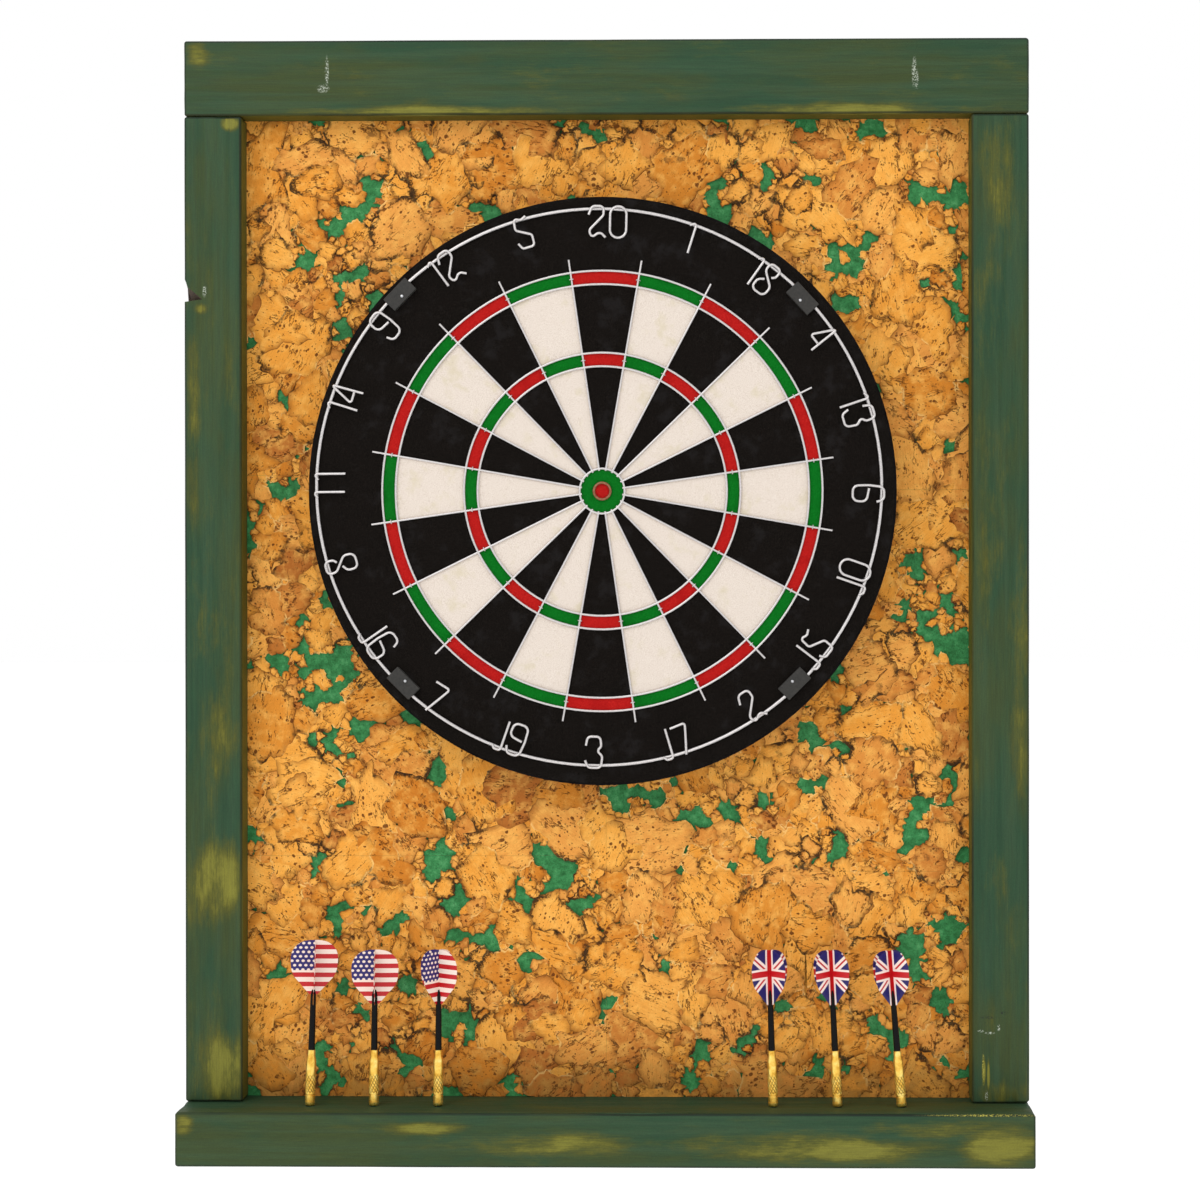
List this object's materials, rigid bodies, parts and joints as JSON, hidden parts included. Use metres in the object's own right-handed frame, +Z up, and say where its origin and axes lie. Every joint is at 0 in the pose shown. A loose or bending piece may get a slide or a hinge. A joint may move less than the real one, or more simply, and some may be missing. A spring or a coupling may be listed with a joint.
{
  "type": "dart board cabinet",
  "caption": "Wall-hung timber frame lined with cork, with a bristle dart board on a bracket and darts standing in a drilled shelf.",
  "frame": {"origin": "middle of the frame's width and height, on the plane of the wall that it hangs on", "axes": "+Z up, +Y into the wall, so the dart board faces -Y, and +X to the right as seen from the front"},
  "size_m": [0.658, 0.072, 0.87],
  "materials": {
    "green_timber": "stained, worn",
    "plywood": "plain",
    "cork": "natural",
    "zinc_steel": "zinc plated",
    "nylon": "plain",
    "sisal": "dyed bristle",
    "fibreboard": "plain",
    "black_steel": "satin",
    "bright_wire": "bright",
    "black_rubber": "plain",
    "grey_plastic": "moulded",
    "brass": "knurled",
    "dark_steel": "ground",
    "black_plastic": "moulded",
    "printed_film": "printed flag stripes"
  },
  "bodies": {
    "frame": {"top_rail": "green_timber", "left_stile": "green_timber", "right_stile": "green_timber", "dart_shelf": "green_timber", "back_panel": "plywood", "frame_screws": "zinc_steel", "panel_screws": "zinc_steel", "hanger_plates": "zinc_steel", "hanger_plate_screws": "zinc_steel", "hanging_bracket": "zinc_steel", "bracket_screws": "zinc_steel", "cork_tile_left_top": "cork", "cork_tile_left_middle": "cork", "cork_tile_left_bottom": "cork", "cork_tile_right_top": "cork", "cork_tile_right_middle": "cork", "cork_tile_right_bottom": "cork"},
    "board_hanger": {"hanger_bush": "nylon"},
    "dartboard": {"hanger_screw": "zinc_steel", "board_backing": "fibreboard", "board_core": "sisal", "rim_band": "black_steel", "wire_spider": "bright_wire", "bull_eye_ring": "bright_wire", "wire_staples": "bright_wire", "board_feet": "black_rubber", "ring_clips": "grey_plastic", "clip_pins": "zinc_steel"},
    "number_ring": {"number_hoop": "bright_wire", "ring_numerals": "bright_wire"},
    "dart_1": {"dart_1_point": "dark_steel", "dart_1_barrel": "brass", "dart_1_stem": "black_plastic", "dart_1_flight": "printed_film"},
    "dart_2": {"dart_2_point": "dark_steel", "dart_2_barrel": "brass", "dart_2_stem": "black_plastic", "dart_2_flight": "printed_film"},
    "dart_3": {"dart_3_point": "dark_steel", "dart_3_barrel": "brass", "dart_3_stem": "black_plastic", "dart_3_flight": "printed_film"},
    "dart_4": {"dart_4_point": "dark_steel", "dart_4_barrel": "brass", "dart_4_stem": "black_plastic", "dart_4_flight": "printed_film"},
    "dart_5": {"dart_5_point": "dark_steel", "dart_5_barrel": "brass", "dart_5_stem": "black_plastic", "dart_5_flight": "printed_film"},
    "dart_6": {"dart_6_point": "dark_steel", "dart_6_barrel": "brass", "dart_6_stem": "black_plastic", "dart_6_flight": "printed_film"}
  },
  "joints": [
    {"name": "board_lift", "type": "slide", "parent": "frame", "child": "board_hanger", "axis": [0, 0, 1], "range_m": [0, 0.036]},
    {"name": "board_turn", "type": "hinge", "parent": "board_hanger", "child": "dartboard", "pos_m": [-0.0018, -0.0155, 0.0825], "axis": [0, 1, 0], "continuous": true},
    {"name": "ring_shift", "type": "hinge", "parent": "dartboard", "child": "number_ring", "pos_m": [-0.0044, -0.0566, 0.0854], "axis": [0, 1, 0], "range_deg": [-3.5, 1]},
    {"name": "dart_1_lift", "type": "slide", "parent": "frame", "child": "dart_1", "axis": [0.0332, 0, 0.9995], "range_m": [0, 0.045]},
    {"name": "dart_2_lift", "type": "slide", "parent": "frame", "child": "dart_2", "axis": [0.0105, 0, 0.9999], "range_m": [0, 0.045]},
    {"name": "dart_3_lift", "type": "slide", "parent": "frame", "child": "dart_3", "axis": [0.007, 0, 1], "range_m": [0, 0.045]},
    {"name": "dart_4_lift", "type": "slide", "parent": "frame", "child": "dart_4", "axis": [-0.0262, 0, 0.9997], "range_m": [0, 0.045]},
    {"name": "dart_5_lift", "type": "slide", "parent": "frame", "child": "dart_5", "axis": [-0.0454, 0, 0.999], "range_m": [0, 0.045]},
    {"name": "dart_6_lift", "type": "slide", "parent": "frame", "child": "dart_6", "axis": [-0.0785, 0, 0.9969], "range_m": [0, 0.045]}
  ]
}
